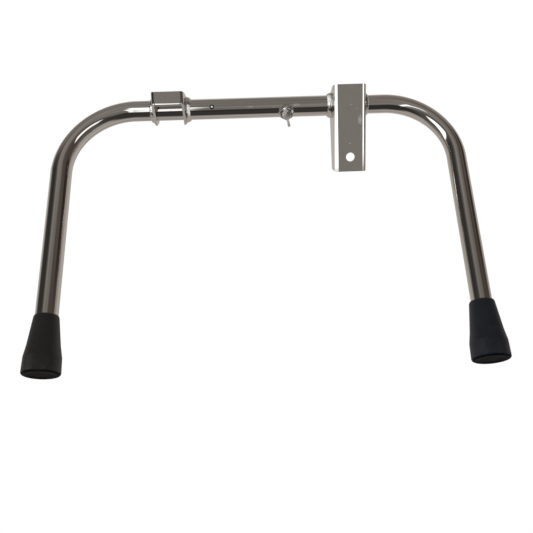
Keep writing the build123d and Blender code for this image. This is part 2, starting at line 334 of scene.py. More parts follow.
def tube_skin(tree, leg_x, bend_radius, side, radius):
    """Point on the tube as if it were straight: along it, and across its round section."""
    place = put(tree, "ShaderNodeTexCoord").outputs["Object"]
    axes, out, up, past_out, past_up, reach = corner_offsets(
        tree, place, leg_x, bend_radius, side, BAR_HEIGHT
    )
    angle = math_node(tree, "ARCTAN2", axes[1], minus(tree, reach, bend_radius))
    turn = times(tree, math_node(tree, "ARCTAN2", past_up, past_out), bend_radius)
    along = minus(tree, turn, math_node(tree, "MINIMUM", out, 0.0))
    along = plus(tree, along, math_node(tree, "MINIMUM", up, 0.0))
    across = [times(tree, math_node(tree, kind, angle), radius) for kind in ("COSINE", "SINE")]
    return put(tree, "ShaderNodeCombineXYZ", {0: along, 1: across[0], 2: across[1]}).outputs[0]


# %% [markdown]
# ## Finishes
# Chrome is one bright metal everywhere, so what tells the pieces apart is how smooth the steel
# under it was. Each finish adds its own marks: polishing lines and slow waves on the tubes, dull
# spots on the sheet, waves and grain on the weld, and patches on the nut and the screw.

# %% Colours and patterns for metal
CHROME = (0.60, 0.585, 0.565, 1)
DRAWN_DARK, DRAWN_LIGHT = (0.47, 0.455, 0.435, 1), (0.71, 0.695, 0.675, 1)
PIT = (0.20, 0.175, 0.15, 1)
# Rivet colours: painted shade for its rim and a painted highlight for its top.
RIVET_RIM_SHADE, RIVET_TOP_HIGHLIGHT = (0.10, 0.09, 0.08, 1), (0.95, 0.94, 0.92, 1)


def new_finish(name):
    made = bpy.data.materials.new(name)
    made.use_nodes = True
    made.node_tree.nodes.clear()
    return made, made.node_tree


def noise(tree, place, scale, detail=2.0, roughness=0.5):
    return put(
        tree, "ShaderNodeTexNoise",
        {"Vector": place, "Scale": scale, "Detail": detail, "Roughness": roughness}
    ).outputs[0]


def speckle(tree, place, spread, size):
    """Round spots, 1 in the middle: spread is how many to a metre, size a share of the gap."""
    gap = put(
        tree, "ShaderNodeTexVoronoi", {"Vector": place, "Scale": spread}, feature="F1"
    ).outputs["Distance"]
    return between(tree, gap, size, size * 0.4)


def weighted(tree, *terms):
    """Adds up number outputs, each with its own weight."""
    total = 0.0
    for value, weight in terms:
        total = plus(tree, total, times(tree, value, weight))
    return total


def end_metal(made, tree, colour, rough, rise, metallic=1.0, second=None):
    """Metal shader; rise is a bump in metres, second is (share, another rise) for a part of the piece."""
    normal = put(tree, "ShaderNodeBump", {"Strength": 1.0, "Distance": 1.0, "Height": rise}).outputs[0]
    if second:
        other = put(
            tree, "ShaderNodeBump", {"Strength": 1.0, "Distance": 1.0, "Height": second[1]}
        ).outputs[0]
        normal = put(
            tree, "ShaderNodeMix", {0: second[0], 4: normal, 5: other}, data_type="VECTOR"
        ).outputs[1]
    shade = put(
        tree, "ShaderNodeBsdfPrincipled",
        {"Base Color": colour, "Metallic": metallic, "Roughness": rough, "Normal": normal}
    )
    put(tree, "ShaderNodeOutputMaterial", {"Surface": shade.outputs[0]})
    return made


def blend_colour(tree, share, first, second):
    return put(tree, "ShaderNodeMix", {0: share, 6: first, 7: second}, data_type="RGBA").outputs[2]


# %% [markdown]
# ## Marks of use, painted highlights and painted shade
# Spots in known places: dull scuffs from handling, painted highlights and painted shade.
# Each is a ball round a point, pulled to an oval and made ragged with noise.

# %% Chosen spots
# Painted colours: dark for painted shade, near white for painted highlights.
PAINTED_SHADE, PAINTED_HIGHLIGHT = (0.13, 0.125, 0.10, 1), (0.95, 0.94, 0.91, 1)


def ragged_spots(tree, place, marked_share, scuffs):
    """Adds ragged spots to a share; each spot is (middle, reach each way, strength)."""
    ragged = times(tree, noise(tree, place, 420.0, 4.0), 0.9)
    for middle, size, strength in scuffs:
        away = put(tree, "ShaderNodeVectorMath", {0: place, 1: middle}, operation="SUBTRACT").outputs[0]
        away = put(tree, "ShaderNodeVectorMath", {0: away, 1: size}, operation="DIVIDE").outputs[0]
        reach = put(tree, "ShaderNodeVectorMath", {0: away}, operation="LENGTH").outputs["Value"]
        reach = plus(tree, reach, ragged)
        spot = times(tree, between(tree, reach, 1.6, 0.9), strength)
        marked_share = math_node(tree, "MAXIMUM", marked_share, spot)
    return marked_share


# %% [markdown]
# ## The tubes' own marks
# Lines, flutes, slow waves and the drawn tint are noise stretched along the straightened tube,
# each at its own scale.
# Noise needs no unwrapping and stays sharp close up, which a picture of scratches wouldn't.

# %% Chrome on a tube
# Pattern scales, to a metre: along the tube, and twice across it.
LINE_SCALE, FLUTE_SCALE, WAVE_SCALE, DRAWN_SCALE = (5, 700, 700), (3, 260, 260), (7, 60, 60), (2.5, 420, 420)


def tube_chrome(name, leg_x, bend_radius, side, radius, scuffs=()):
    """Plated tube: fine lines along it, slow waves, smudges, a few pits and chosen scuffs."""
    made, tree = new_finish(name)
    skin = tube_skin(tree, leg_x, bend_radius, side, radius)
    stretched = put(tree, "ShaderNodeMapping", {0: skin, "Scale": LINE_SCALE}).outputs[0]
    flutes = put(tree, "ShaderNodeMapping", {0: skin, "Scale": FLUTE_SCALE}).outputs[0]
    long_waves = put(tree, "ShaderNodeMapping", {0: skin, "Scale": WAVE_SCALE}).outputs[0]
    lines, streaks = noise(tree, stretched, 1.0, 3.0), noise(tree, flutes, 1.0, 1.0)
    waves = noise(tree, long_waves, 1.0, 1.0)
    smudge = between(tree, noise(tree, skin, 55.0, 6.0, 0.65), 0.52, 0.74)
    pits = speckle(tree, skin, 95.0, 0.06)
    rough = weighted(tree, (smudge, 0.06), (lines, 0.03), (1.0, 0.01))
    rise = weighted(tree, (lines, 0.000002), (streaks, 0.00002), (waves, 0.00006), (pits, -0.00002))
    drawn = put(tree, "ShaderNodeMapping", {0: skin, "Scale": DRAWN_SCALE}).outputs[0]
    drawn = between(tree, noise(tree, drawn, 1.0, 2.0, 0.6), 0.36, 0.64)
    tint = blend_colour(tree, drawn, DRAWN_DARK, DRAWN_LIGHT)
    marked_share = ragged_spots(tree, put(tree, "ShaderNodeTexCoord").outputs["Object"], 0.0, scuffs)
    metallic = minus(tree, 1.0, marked_share)
    return end_metal(made, tree, blend_colour(tree, pits, tint, PIT), rough, rise, metallic)


# %% [markdown]
# ## Sheet and weld
# Sheet is pressed and not drawn, so its marks run no special way: slow waves, grain and smudges.
# The weld has the same plating with more grain, and painted highlights: matt near-white spots on its beads.
# The saddle's web is shaded as if it faced 24 degrees less downward, which changes what it mirrors. The mesh
# keeps its own tilt.

# %% Chrome on sheet and weld
WEB_UP = Vector((0, -math.sin(BRACKET_TILT), math.cos(BRACKET_TILT)))
WEB_FRONT = -Vector((0, math.cos(BRACKET_TILT), math.sin(BRACKET_TILT)))
BAR_MIDDLE = Vector((0, 0, BAR_HEIGHT))
RIVET_OUT = Vector((0, -math.cos(RIVET_ANGLE), -math.sin(RIVET_ANGLE)))
SADDLE_LEAN, WEB_FOOT, ROLL_HEIGHT, ROLL_CURVE = math.tan(math.radians(24)), 6.5 * MM, 1.9 * MM, 150.0


def web_lean(tree, place, rise):
    """Shading only: the saddle's web seems to face less downward, its lower edge rolled; ears don't."""
    from_bar = put(tree, "ShaderNodeVectorMath", {0: place, 1: BAR_MIDDLE}, operation="SUBTRACT").outputs[0]
    depth, height = (
        put(tree, "ShaderNodeVectorMath", {0: from_bar, 1: way}, operation="DOT_PRODUCT").outputs["Value"]
        for way in (WEB_FRONT, WEB_UP)
    )
    rolled = math_node(tree, "MAXIMUM", minus(tree, WEB_FOOT + ROLL_HEIGHT, height), 0.0)
    roll = times(tree, rolled, rolled)
    leaned = weighted(tree, (rise, 1.0), (height, -SADDLE_LEAN), (roll, -ROLL_CURVE))
    return between(tree, depth, WEB_DEPTH - 4.5 * MM, WEB_DEPTH - 2.5 * MM), leaned


def plain_chrome(
    name, wave_height, grain_height, smudge_strength, wave_scale=55.0, grain_scale=900.0, dust=0.0,
    scuffs=(), painted_highlights=(), leaning_web=False
):
    """Plated sheet or weld: waves, grain and smudges, chosen spots scuffed dull, and painted highlights as
    matt near-white spots.
    """
    made, tree = new_finish(name)
    place = put(tree, "ShaderNodeTexCoord").outputs["Object"]
    waves = noise(tree, place, wave_scale, 1.5)
    grain = noise(tree, place, grain_scale, 3.0)
    smudge = between(tree, noise(tree, place, 70.0, 6.0, 0.62), 0.5, 0.72)
    spots = speckle(tree, place, 120.0, 0.07)
    rough = weighted(tree, (smudge, smudge_strength), (grain, 0.03), (1.0, 0.02))
    rise = weighted(tree, (waves, wave_height), (grain, grain_height), (spots, -0.000003))
    marked_share = times(tree, smudge, dust)
    # Painted highlights: chosen spots are painted near white and made matt.
    bright = ragged_spots(tree, place, 0.0, painted_highlights)
    marked_share = math_node(tree, "MAXIMUM", ragged_spots(tree, place, marked_share, scuffs), bright)
    tint = blend_colour(tree, bright, blend_colour(tree, spots, CHROME, PIT), PAINTED_HIGHLIGHT)
    metallic = minus(tree, 1.0, marked_share)
    second = web_lean(tree, place, rise) if leaning_web else None
    return end_metal(made, tree, tint, rough, rise, metallic, second)


# %% [markdown]
# ## Small steel
# Nut, screw and washers are satin where the chrome is sharp. The same patches change colour and
# roughness together, as thin plating does. Nut and screw have painted highlights, and painted shade
# toward their right side. The rivet's head has a painted highlight on top and painted shade round its rim.

# %% Zinc and rivet steel
def zinc_steel(name, colour, brush, metallic=1.0, painted_highlights=(), painted_shade=()):
    """Zinc-plated hardware: satin, with grain and dull patches; chosen spots get a painted highlight or
    painted shade.
    """
    made, tree = new_finish(name)
    place = put(tree, "ShaderNodeTexCoord").outputs["Object"]
    patches = noise(tree, place, 240.0, 4.0, 0.6)
    grain = noise(tree, place, 1600.0, 2.0)
    tint = blend_colour(tree, patches, colour, tuple(c * 0.85 for c in colour[:3]) + (1,))
    # Painted shade: chosen spots are darkened where shade falls.
    tint = blend_colour(tree, ragged_spots(tree, place, 0.0, painted_shade), tint, PAINTED_SHADE)
    # Painted highlight: chosen spots are painted near white and made less metallic.
    bright = ragged_spots(tree, place, 0.0, painted_highlights)
    tint = blend_colour(tree, bright, tint, PAINTED_HIGHLIGHT)
    metallic = times(tree, metallic, minus(tree, 1.0, bright))
    rough = weighted(tree, (patches, 0.16), (grain, 0.05), (1.0, brush))
    return end_metal(
        made, tree, tint, rough, weighted(tree, (grain, 0.000001), (patches, 0.000003)), metallic
    )


def rivet_steel(name, middle, out):
    """Rivet head: a painted highlight on the top, painted shade round the rim."""
    made, tree = new_finish(name)
    place = put(tree, "ShaderNodeTexCoord").outputs["Object"]
    from_middle = put(tree, "ShaderNodeVectorMath", {0: place, 1: middle}, operation="SUBTRACT").outputs[0]
    off_axis = put(
        tree, "ShaderNodeVectorMath", {0: from_middle, 1: out}, operation="CROSS_PRODUCT"
    ).outputs[0]
    reach = put(tree, "ShaderNodeVectorMath", {0: off_axis}, operation="LENGTH").outputs["Value"]
    reach = plus(tree, reach, times(tree, noise(tree, place, 900.0, 3.0), 0.0006))
    painted_highlights = between(tree, reach, 1.9 * MM, 1.1 * MM)
    grain = noise(tree, place, 1600.0, 2.0)
    # Painted highlight in the middle of the head, painted shade round it.
    tint = blend_colour(tree, painted_highlights, RIVET_RIM_SHADE, RIVET_TOP_HIGHLIGHT)
    rough = weighted(tree, (painted_highlights, -0.15), (grain, 0.05), (1.0, 0.35))
    metallic = weighted(tree, (painted_highlights, -0.8), (1.0, 1.0))
    return end_metal(made, tree, tint, rough, weighted(tree, (grain, 0.000002)), metallic)


# %% [markdown]
# ## Where the marks are
# A spot needs a point in space. Three small functions turn a place on the web, on the bar or by
# the clamp to such a point, so that the lists place each mark by a part of the frame.

# %% Where the marks are
def on_web(x, height):
    """Point on the front face of a bracket's web, from its height along the bracket."""
    leaning, rising = math.cos(BRACKET_TILT), math.sin(BRACKET_TILT)
    return (x, -WEB_DEPTH * leaning - height * rising, BAR_HEIGHT - WEB_DEPTH * rising + height * leaning)


def on_bar(x, drop):
    """Point on the bar's skin; drop is degrees below level, to the front."""
    angle = math.radians(drop)
    return (x, -OUTER_RADIUS * math.cos(angle), BAR_HEIGHT - OUTER_RADIUS * math.sin(angle))


ROUND_SPOT = (1.0 * MM, 1.0 * MM, 1.0 * MM)
SCUFFS = (
    (on_web(SOCKET_X + 12 * MM, -19 * MM), (3.0 * MM, 6.0 * MM, 6.0 * MM), 0.34),
    (on_web(SOCKET_X + 1 * MM, 0), ROUND_SPOT, 0.26),
    (on_web(SOCKET_X - 1 * MM, -47 * MM), (1.8 * MM, 0.8 * MM, 0.8 * MM), 0.30),
    (on_web(SOCKET_X + 8 * MM, -5 * MM), ROUND_SPOT, 0.22),
)


def on_clamp(x, front, out):
    """Point by the clamp: along the bar, towards the front across it, and out from the bar's middle."""
    leaning, falling = math.cos(CLAMP_ANGLE), math.sin(CLAMP_ANGLE)
    return (CLAMP_X + x, -leaning * out - falling * front, BAR_HEIGHT - falling * out + leaning * front)


# Painted highlights on the nut and screw where they catch the light, and painted shade toward their right
# side.
NUT_PAINTED_HIGHLIGHT = ((on_clamp(7.7 * MM, 3.4 * MM, 19 * MM), (2.4 * MM, 2.4 * MM, 2.4 * MM), 0.8),)
NUT_PAINTED_SHADE = ((on_clamp(4 * MM, 3 * MM, 18 * MM), (4 * MM, 4 * MM, 4 * MM), 0.8),)
SCREW_PAINTED_HIGHLIGHTS = (
    (on_clamp(-3.3 * MM, 13.1 * MM, 26.5 * MM), (3 * MM, 3 * MM, 3 * MM), 0.9),
    (on_clamp(-1.8 * MM, 5.8 * MM, 20.6 * MM), (5 * MM, 2 * MM, 2 * MM), 0.8),
)
SCREW_PAINTED_SHADE = ((on_clamp(2 * MM, 3.2 * MM, 23.5 * MM), (4.4 * MM, 4.4 * MM, 4.4 * MM), 0.9),)
# Painted highlights on the weld beads: matt near-white spots where the beads catch the light.
WELD_PAINTED_HIGHLIGHTS = (
    (on_bar(90.4 * MM, 6), (4 * MM, 8 * MM, 8 * MM), 0.95),
    (on_bar(92.6 * MM, 24), (2.4 * MM, 7 * MM, 7 * MM), 0.8),
    (on_bar(-87.6 * MM, 38), (3 * MM, 8 * MM, 8 * MM), 0.9),
    (on_bar(-133 * MM, 30), (3 * MM, 6 * MM, 6 * MM), 0.7),
)
BAR_SCUFFS = (
    (on_bar(-10 * MM, 31), (6.0 * MM, 1.2 * MM, 0.9 * MM), 0.20),
    (on_bar(20 * MM, 33), (3.0 * MM, 1.2 * MM, 0.9 * MM), 0.10),
    (on_bar(49 * MM, 27), (5.0 * MM, 2.0 * MM, 1.8 * MM), 0.22),
)

# %% The metal finishes
finish = {
    "outer_tube": tube_chrome(
        "outer_tube_chrome_finish", LEFT_LEG, LEFT_BEND, -1.0, OUTER_RADIUS, BAR_SCUFFS
    ),
    "inner_tube": tube_chrome("inner_tube_chrome_finish", RIGHT_LEG, RIGHT_BEND, 1.0, INNER_RADIUS),
    "bracket": plain_chrome("bracket_chrome_finish", 0.00002, 0.0000006, 0.05, dust=0.015, scuffs=SCUFFS),
    "saddle": plain_chrome("saddle_chrome_finish", 0.00002, 0.0000006, 0.05, dust=0.035, leaning_web=True),
    "weld": plain_chrome(
        "weld_chrome_finish", 0.00006, 0.000002, 0.08, wave_scale=160.0, dust=0.03, painted_highlights=WELD_PAINTED_HIGHLIGHTS
    ),
    "nut": zinc_steel("nut_steel_finish", (0.60, 0.58, 0.55, 1), 0.10, 0.9, NUT_PAINTED_HIGHLIGHT, NUT_PAINTED_SHADE),
    "screw": zinc_steel("screw_zinc_finish", (0.70, 0.67, 0.63, 1), 0.22, 0.62, SCREW_PAINTED_HIGHLIGHTS, SCREW_PAINTED_SHADE),
    "rivet": rivet_steel("rivet_steel_finish", BAR_MIDDLE + Vector((RIVET_X, 0, 0)), RIVET_OUT),
    "washer": zinc_steel("washer_zinc_finish", (0.52, 0.53, 0.55, 1), 0.26),
}
print("metal finishes:", sorted(finish))

# %% [markdown]
# ## Rubber
# The ferrules are black moulded rubber: dark, half dull, with a fine grain from the mould. Dust
# gathers in patches, and the foot is scuffed where it drags on the floor.

# %% Rubber finish
SCUFF_TOP, SCUFF_LOW, TREAD_TOP, TREAD_LOW = 18 * MM, 4 * MM, 2.5 * MM, 1 * MM
RING_PITCH, RINGS_END, RINGS_FULL = 1.8 * MM, 9.5 * MM, 8 * MM
FINE_RISE, ROUGH_RISE = 0.00002, 0.00008


def ferrule_rubber(name, black, dust_colour):
    """Moulded rubber: black with dust in patches, fine mould rings near the foot, a duller tread."""
    made, tree = new_finish(name)
    place = put(tree, "ShaderNodeTexCoord").outputs["Object"]
    height = put(tree, "ShaderNodeSeparateXYZ", {0: place}).outputs[2]
    grain = noise(tree, place, 1500.0, 3.0)
    cloud = noise(tree, place, 120.0, 7.0, 0.7)
    dust = between(tree, cloud, 0.46, 0.76)
    low_down = between(tree, height, SCUFF_TOP, SCUFF_LOW)
    tread = between(tree, height, TREAD_TOP, TREAD_LOW)
    scuff = times(tree, dust, weighted(tree, (low_down, 0.35), (1.0, 0.12)))
    tint = blend_colour(tree, scuff, black, dust_colour)
    wave = math_node(tree, "SINE", times(tree, height, math.tau / RING_PITCH))
    rings = times(tree, wave, between(tree, height, RINGS_END, RINGS_FULL))
    rise = weighted(tree, (grain, FINE_RISE), (cloud, ROUGH_RISE), (rings, ROUGH_RISE))
    bump = put(tree, "ShaderNodeBump", {"Strength": 1.0, "Distance": 1.0, "Height": rise})
    gloss = weighted(tree, (tread, -0.48), (1.0, 0.5))
    rough = weighted(tree, (cloud, 0.22), (1.0, 0.40))
    shade = put(tree, "ShaderNodeBsdfPrincipled", {
        "Base Color": tint, "Specular IOR Level": gloss, "Roughness": rough, "Normal": bump.outputs[0],
    })
    put(tree, "ShaderNodeOutputMaterial", {"Surface": shade.outputs[0]})
    return made


finish["left_rubber"] = ferrule_rubber(
    "left_rubber_finish", (0.0066, 0.0060, 0.0058, 1), (0.036, 0.032, 0.024, 1)
)
finish["right_rubber"] = ferrule_rubber(
    "right_rubber_finish", (0.0018, 0.0042, 0.0094, 1), (0.012, 0.020, 0.031, 1)
)

# %% [markdown]
# ## Turning rules into pieces
# Geometry Nodes can draw a piece from a rule, with its sizes as named inputs. Each tree below
# takes its sizes from the values at the top. The result is turned into a plain mesh at once, so
# that what is kept is ordinary faces with nothing left to evaluate.

# %% Geometry Nodes helpers
def new_shape(name, sizes):
    """Empty node tree with one float input for each size, and a material input."""
    tree = bpy.data.node_groups.new(name, "GeometryNodeTree")
    tree.interface.new_socket("Geometry", in_out="OUTPUT", socket_type="NodeSocketGeometry")
    for label in sizes:
        tree.interface.new_socket(label, in_out="INPUT", socket_type="NodeSocketFloat")
    tree.interface.new_socket("Finish", in_out="INPUT", socket_type="NodeSocketMaterial")
    return tree, tree.nodes.new("NodeGroupInput").outputs


def end_shape(tree, geometry, finish):
    """Smooth shading, real geometry instead of instances, and the finish."""
    smooth = put(tree, "GeometryNodeSetShadeSmooth", {"Geometry": geometry})
    real = put(tree, "GeometryNodeRealizeInstances", {"Geometry": smooth.outputs[0]})
    painted = put(tree, "GeometryNodeSetMaterial", {"Geometry": real.outputs[0], "Material": finish})
    put(tree, "NodeGroupOutput", {"Geometry": painted.outputs[0]})


def show(name, mesh):
    made = bpy.data.objects.new(name, mesh)
    bpy.context.scene.collection.objects.link(made)
    return made


def plain_mesh(made):
    """Applies an object's modifiers to its mesh."""
    bpy.context.view_layer.update()
    graph = bpy.context.evaluated_depsgraph_get()
    mesh = bpy.data.meshes.new_from_object(made.evaluated_get(graph))
    made.modifiers.clear()
    made.data = mesh
    return made


def grow(name, tree, sizes, finish):
    """One piece from a node tree: sizes go to the inputs by identifier."""
    made = show(name, bpy.data.meshes.new(name))
    modifier = made.modifiers.new("rule", "NODES")
    modifier.node_group = tree
    for item in tree.interface.items_tree:
        if item.in_out == "INPUT":
            modifier[item.identifier] = finish if item.name == "Finish" else float(sizes[item.name])
    return plain_mesh(made)


def fit(piece, node, body):
    """The piece stands for a solid: the solid is hidden and the piece rides on its body."""
    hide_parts(node)
    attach(piece, body)
    print(piece.name, "faces", len(piece.data.polygons))
    return piece


# %% [markdown]
# ## The bent tubes
# Each leg is one length of tube, bent once. A bender leaves the outside of the bend a little
# flatter, and mirrors show that at once. The rule is a line with one rounded corner, a round
# section swept along it for the outside and again for the bore, and a press on the outer half of
# the bend. A curve with a bevel would give the sweep, but neither the bore nor the press.

# %% Rule for a bent tube
BEND_STEPS, TUBE_STEPS = 64, 96
TUBE_SIZES = (
    "Leg X", "Side", "Bar End X", "Bar Height", "Foot Height", "Bend Radius", "Bend Press", "Radius", "Wall"
)


def bent_tube_rule():
    tree, size = new_shape("bent_tube", TUBE_SIZES)
    line = put(tree, "GeometryNodeMeshLine", {"Count": 3})
    bar_end, corner = (size["Bar End X"], size["Bar Height"]), (size["Leg X"], size["Bar Height"])
    foot = (size["Leg X"], size["Foot Height"])
    choose = put(tree, "GeometryNodeIndexSwitch", data_type="VECTOR")
    choose.index_switch_items.new()
    tree.links.new(put(tree, "GeometryNodeInputIndex").outputs[0], choose.inputs[0])
    for number, (x, z) in enumerate((bar_end, corner, foot)):
        tree.links.new(put(tree, "ShaderNodeCombineXYZ", {0: x, 2: z}).outputs[0], choose.inputs[number + 1])
    placed = put(
        tree, "GeometryNodeSetPosition", {"Geometry": line.outputs[0], "Position": choose.outputs[0]}
    )
    path = put(tree, "GeometryNodeMeshToCurve", {"Mesh": placed.outputs[0]})
    bend = put(
        tree, "GeometryNodeFilletCurve",
        {"Curve": path.outputs[0], "Radius": size["Bend Radius"], "Count": BEND_STEPS}, mode="POLY"
    )
    skins = put(tree, "GeometryNodeJoinGeometry")
    bore = minus(tree, size["Radius"], size["Wall"])
    for radius, inside in ((size["Radius"], False), (bore, True)):
        ring = put(tree, "GeometryNodeCurvePrimitiveCircle", {"Resolution": TUBE_STEPS, "Radius": radius})
        skin = put(
            tree, "GeometryNodeCurveToMesh", {"Curve": bend.outputs[0], "Profile Curve": ring.outputs[0]}
        ).outputs[0]
        if inside:
            skin = put(tree, "GeometryNodeFlipFaces", {"Mesh": skin}).outputs[0]
        tree.links.new(skin, skins.inputs[0])
    place = put(tree, "GeometryNodeInputPosition").outputs[0]
    past_out, past_up, reach = corner_offsets(
        tree, place, size["Leg X"], size["Bend Radius"], size["Side"], size["Bar Height"]
    )[3:]
    reach_squared = math_node(tree, "MAXIMUM", times(tree, reach, reach), 1e-9)
    both = times(tree, times(tree, past_out, past_up), 2.0)
    share = math_node(tree, "DIVIDE", both, reach_squared)
    outside = math_node(tree, "MAXIMUM", minus(tree, reach, size["Bend Radius"]), 0.0)
    pressed_in = times(tree, share, size["Bend Press"])
    press = times(tree, pressed_in, math_node(tree, "DIVIDE", outside, size["Radius"]))
    inward = math_node(tree, "DIVIDE", press, math_node(tree, "MAXIMUM", reach, 1e-6))
    back = times(tree, size["Side"], -1.0)
    move_x = times(tree, times(tree, past_out, inward), back)
    move_z = times(tree, times(tree, past_up, inward), -1.0)
    shift = put(tree, "ShaderNodeCombineXYZ", {0: move_x, 2: move_z}).outputs[0]
    pressed = put(tree, "GeometryNodeSetPosition", {"Geometry": skins.outputs[0], "Offset": shift})
    end_shape(tree, pressed.outputs[0], size["Finish"])
    return tree


tube_rule = bent_tube_rule()
print("tube rule nodes:", len(tube_rule.nodes))

# %% [markdown]
# ## Closing the tube's ends
# The sweep leaves the tube open: two skins and nothing between them. Each end gets its cut ring,
# and the ring's edges are rounded off as a saw and a file leave them.

# %% Tubes
DEBURR, SHADING_RINGS = 0.25 * MM, (0.6 * MM, 1.2 * MM)


def close_ends(piece, bar_end, inward):
    """Bridges outside and bore at both ends, rounds the cuts, keeps the skin's shading straight."""
    work = bmesh.new()
    work.from_mesh(piece.data)
    bmesh.ops.remove_doubles(work, verts=work.verts, dist=1e-7)
    open_edges = [e for e in work.edges if e.is_boundary]
    foot = [e for e in open_edges if all(v.co.z < 2 * FOOT_HEIGHT for v in e.verts)]
    rims = []
    for ends in (foot, [e for e in open_edges if e not in set(foot)]):
        rims += bmesh.ops.bridge_loops(work, edges=ends)["faces"]
    rim_faces = set(rims)
    cut = [e for e in work.edges if len([f for f in e.link_faces if f in rim_faces]) == 1]
    bmesh.ops.bevel(
        work, geom=cut, offset=DEBURR, segments=3, profile=0.5, affect="EDGES", clamp_overlap=True
    )
    for step in SHADING_RINGS:
        by_foot = (Vector((0, 0, FOOT_HEIGHT + step)), Vector((0, 0, 1)))
        by_bar_end = (Vector((bar_end + inward * step, 0, 0)), Vector((1, 0, 0)))
        for middle, way in (by_foot, by_bar_end):
            everything = work.verts[:] + work.edges[:] + work.faces[:]
            bmesh.ops.bisect_plane(work, geom=everything, plane_co=middle, plane_no=way)
    for face in work.faces:
        face.smooth = True
    bmesh.ops.recalc_face_normals(work, faces=work.faces)
    work.to_mesh(piece.data)
    print(
        piece.name, "closed:", not any(e.is_boundary for e in work.edges), "volume cm3",
        round(work.calc_volume() * 1e6, 1)
    )
    work.free()
    return piece


def bent_tube(name, node, body, look, leg_x, bar_end, bend_radius, press, radius, wall):
    side = math.copysign(1, leg_x)
    values = (leg_x, side, bar_end, BAR_HEIGHT, FOOT_HEIGHT, bend_radius, press, radius, wall)
    piece = grow(name, tube_rule, dict(zip(TUBE_SIZES, values)), finish[look])
    close_ends(piece, bar_end, side)
    return fit(piece, node, body)


bent_tube(
    "outer_bent_tube", "outer_leg_tube", "outer_leg", "outer_tube", LEFT_LEG, OUTER_BAR_END, LEFT_BEND,
    LEFT_PRESS, OUTER_RADIUS, OUTER_WALL
)
bent_tube(
    "inner_bent_tube", "inner_leg_tube", "inner_leg", "inner_tube", RIGHT_LEG, INNER_BAR_END, RIGHT_BEND,
    RIGHT_PRESS, INNER_RADIUS, INNER_WALL
)

# %% [markdown]
# ## Pressed brackets
# The long socket and the short saddle are 3 mm strip, pressed to a channel and holed for the
# tube. The solids have the right shape but knife edges. A copy with its loose triangles joined
# gets a small rounding on every sharp edge, which is what catches the light on real sheet.

# %% Brackets
SHEET_EDGE = 0.35 * MM


def flat_on_bend(work, side, face_angle, from_side, lean):
    """Planes off one bend of the socket: a strip at an angle to the web, wider toward the foot."""
    toward = Vector((side, 0, 0))
    line = (WEB_UP + toward * lean).normalized()
    facing = WEB_FRONT * math.cos(math.radians(face_angle)) + toward * math.sin(math.radians(face_angle))
    facing = (facing - line * facing.dot(line)).normalized()
    start = Vector(on_web(SOCKET_X + side * (HALF_BRACKET - from_side), 0))
    everything = work.verts[:] + work.edges[:] + work.faces[:]
    cut = bmesh.ops.bisect_plane(work, geom=everything, plane_co=start, plane_no=facing, clear_outer=True)
    rim = [e for e in cut["geom_cut"] if isinstance(e, bmesh.types.BMEdge)]
    bmesh.ops.holes_fill(work, edges=rim)
    return rim


def softened(name, node, edge, look, flats=(), sharp=35.0, segments=3):
    """Copy of a solid, its triangles joined, its bends planed and its sharp edges rounded."""
    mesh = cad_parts[node].data.copy()
    for attribute in [a for a in mesh.attributes if a.name == "custom_normal"]:
        mesh.attributes.remove(attribute)
    piece = show(name, mesh)
    work = bmesh.new()
    work.from_mesh(mesh)
    bmesh.ops.remove_doubles(work, verts=work.verts, dist=1e-6)
    bmesh.ops.dissolve_limit(work, angle_limit=math.radians(0.3), verts=work.verts, edges=work.edges)
    for face in work.faces:
        face.smooth = True
    for an_edge in work.edges:
        an_edge.smooth = True
    for flat in flats:
        for an_edge in flat_on_bend(work, *flat):
            an_edge.smooth = False
    work.to_mesh(mesh)
    work.free()
    mesh.materials.clear()
    mesh.materials.append(finish[look])
    round_off = piece.modifiers.new("rounded_edges", "BEVEL")
    round_off.width, round_off.segments, round_off.limit_method = edge, segments, "ANGLE"
    round_off.angle_limit = math.radians(sharp)
    even = piece.modifiers.new("even_shading", "WEIGHTED_NORMAL")
    even.keep_sharp = True
    return plain_mesh(piece)


# Each flat: side, degrees from the web, distance from the side, and how much it widens.
SOCKET_FLATS = ((-1, 31.0, 4.4 * MM, 0.010), (1, 13.0, 4.8 * MM, 0.0))
socket = softened("socket_pressed_channel", "socket_channel", SHEET_EDGE, "bracket", SOCKET_FLATS)
fit(socket, "socket_channel", "outer_leg")
saddle = softened("saddle_pressed_channel", "saddle_bracket", SHEET_EDGE, "saddle")
fit(saddle, "saddle_bracket", "outer_leg")

# %% [markdown]
# ## Weld beads
# Each bracket is welded to the tube with a bead run round it by hand: a row of small overlapping
# crescents that is never quite even. One rule draws the bead as a grid wrapped round the tube.
# Across it runs the bead's section, round it the crescents, and a little noise keeps two beads
# from being the same.

# %% Rule for a weld bead
BEAD_SIZES = (
    "Start X", "Direction", "Tube Radius", "Bar Height", "Leg On Tube", "Leg On Plate", "Fullness",
    "Crescents", "Crescent Height", "Unevenness", "Seed"
)
SECTION_STEPS, ROUND_STEPS = 16, 480
CRESCENT_BOW, CRESCENT_JITTER = 1.3, 1.1


def noise_field(tree, place, scale):
    """Smooth random number from 0 to 1 at a place, the same on every run."""
    return put(tree, "ShaderNodeTexNoise", {"Vector": place, "Scale": scale, "Detail": 1.0}).outputs[0]


